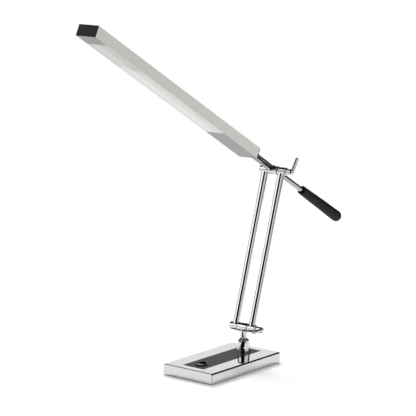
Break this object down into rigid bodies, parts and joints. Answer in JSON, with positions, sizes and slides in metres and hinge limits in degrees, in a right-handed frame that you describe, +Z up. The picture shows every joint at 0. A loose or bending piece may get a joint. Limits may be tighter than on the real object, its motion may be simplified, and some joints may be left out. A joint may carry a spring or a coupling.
{
  "type": "swing arm desk lamp",
  "caption": "Balance-arm desk lamp: weighted base, ball swivel, two-tube arm with lock levers, counterweighted bar head with LED lens.",
  "frame": {"origin": "middle of the base's resting face, on the table", "axes": "+Z up; -Y is the front, where the head reaches over the rocker switch; +Y runs along the base towards the swivel; +X is to the right seen from the front"},
  "size_m": [0.115, 0.7912, 0.6744],
  "materials": {
    "chrome_zinc": "bright chrome plate on a zinc casting",
    "chrome_steel": "bright chrome plate on steel",
    "cast_weight": "as cast, lacquered",
    "satin_steel": "satin",
    "plated_steel": "zinc plated",
    "foam_pad": "closed-cell foam",
    "dark_plate": "polished",
    "black_plastic": "fine moulded grain",
    "brass_contact": "plain",
    "green_board": "solder mask",
    "component_case": "plain",
    "nylon": "natural",
    "black_rubber": "matt",
    "painted_aluminium": "light grey satin coat on an aluminium extrusion",
    "raw_aluminium": "mill finish",
    "frosted_lens": "frosted",
    "white_board": "white solder mask",
    "led_phosphor": "phosphor"
  },
  "bodies": {
    "base": {"base_shell": "chrome_zinc", "base_weight": "cast_weight", "weight_screws": "plated_steel", "base_cover": "plated_steel", "base_pad": "foam_pad", "cover_screws": "plated_steel", "insert_plate": "dark_plate", "switch_body": "black_plastic", "switch_terminals": "brass_contact", "power_inlet": "black_plastic", "driver_board": "green_board", "driver_components": "component_case", "board_screws": "plated_steel", "swivel_socket": "chrome_zinc", "socket_washer": "plated_steel", "socket_nut": "plated_steel", "ball_seat": "nylon", "seat_plug": "plated_steel"},
    "rocker": {"switch_rocker": "black_plastic"},
    "ball": {"swivel_ball": "chrome_steel"},
    "stem": {"stem_post": "chrome_steel", "lower_hub": "chrome_steel", "lower_friction_washers": "nylon"},
    "arm": {"lower_sleeve_left": "chrome_steel", "lower_sleeve_right": "chrome_steel", "lower_pivot_bolt": "plated_steel", "lower_clamp_washer": "chrome_steel", "tube_left": "chrome_steel", "tube_right": "chrome_steel", "upper_sleeve_left": "chrome_steel", "upper_sleeve_right": "chrome_steel", "upper_pivot_bolt": "plated_steel", "upper_clamp_washer": "chrome_steel"},
    "lower_lever": {"lower_lock_lever": "chrome_steel"},
    "upper_lever": {"upper_lock_lever": "chrome_steel"},
    "beam": {"upper_hub": "chrome_steel", "upper_friction_washers": "nylon", "head_rod": "satin_steel", "balance_rod": "satin_steel", "counterweight": "plated_steel", "counterweight_grip": "black_rubber", "lead_gland": "black_plastic", "head_lead": "black_rubber", "strain_relief": "black_plastic", "rod_block": "raw_aluminium", "cap_screws": "plated_steel", "head_housing": "painted_aluminium", "front_cap": "black_plastic", "rear_cap": "black_plastic", "lens": "frosted_lens", "led_carrier": "raw_aluminium", "led_board": "white_board", "led_chips": "led_phosphor"}
  },
  "joints": [
    {"name": "stem_tilt", "type": "hinge", "parent": "base", "child": "ball", "pos_m": [0, 0.0625, 0.0362], "axis": [1, 0, 0], "range_deg": [0, 40]},
    {"name": "swivel", "type": "hinge", "parent": "ball", "child": "stem", "pos_m": [0, 0.0625, 0.0362], "axis": [0, 0, 1], "range_deg": [-154, 146]},
    {"name": "arm_lift", "type": "hinge", "parent": "stem", "child": "arm", "pos_m": [0, 0.0625, 0.0665], "axis": [0.9972, 0.075, 0], "range_deg": [-41, 48]},
    {"name": "head_tilt", "type": "hinge", "parent": "arm", "child": "beam", "pos_m": [-0.00739, 0.16072, 0.34934], "axis": [0.9972, 0.075, 0], "range_deg": [-45, 60]},
    {"name": "lower_lock", "type": "hinge", "parent": "arm", "child": "lower_lever", "pos_m": [0, 0.0625, 0.0665], "axis": [0.9972, 0.075, 0], "range_deg": [-90, 20]},
    {"name": "upper_lock", "type": "hinge", "parent": "arm", "child": "upper_lever", "pos_m": [-0.00739, 0.16072, 0.34934], "axis": [0.9972, 0.075, 0], "range_deg": [-20, 90]},
    {"name": "switch_rock", "type": "hinge", "parent": "base", "child": "rocker", "pos_m": [0, -0.0605, 0.0207], "axis": [1, 0, 0], "range_deg": [-16, 0]}
  ]
}
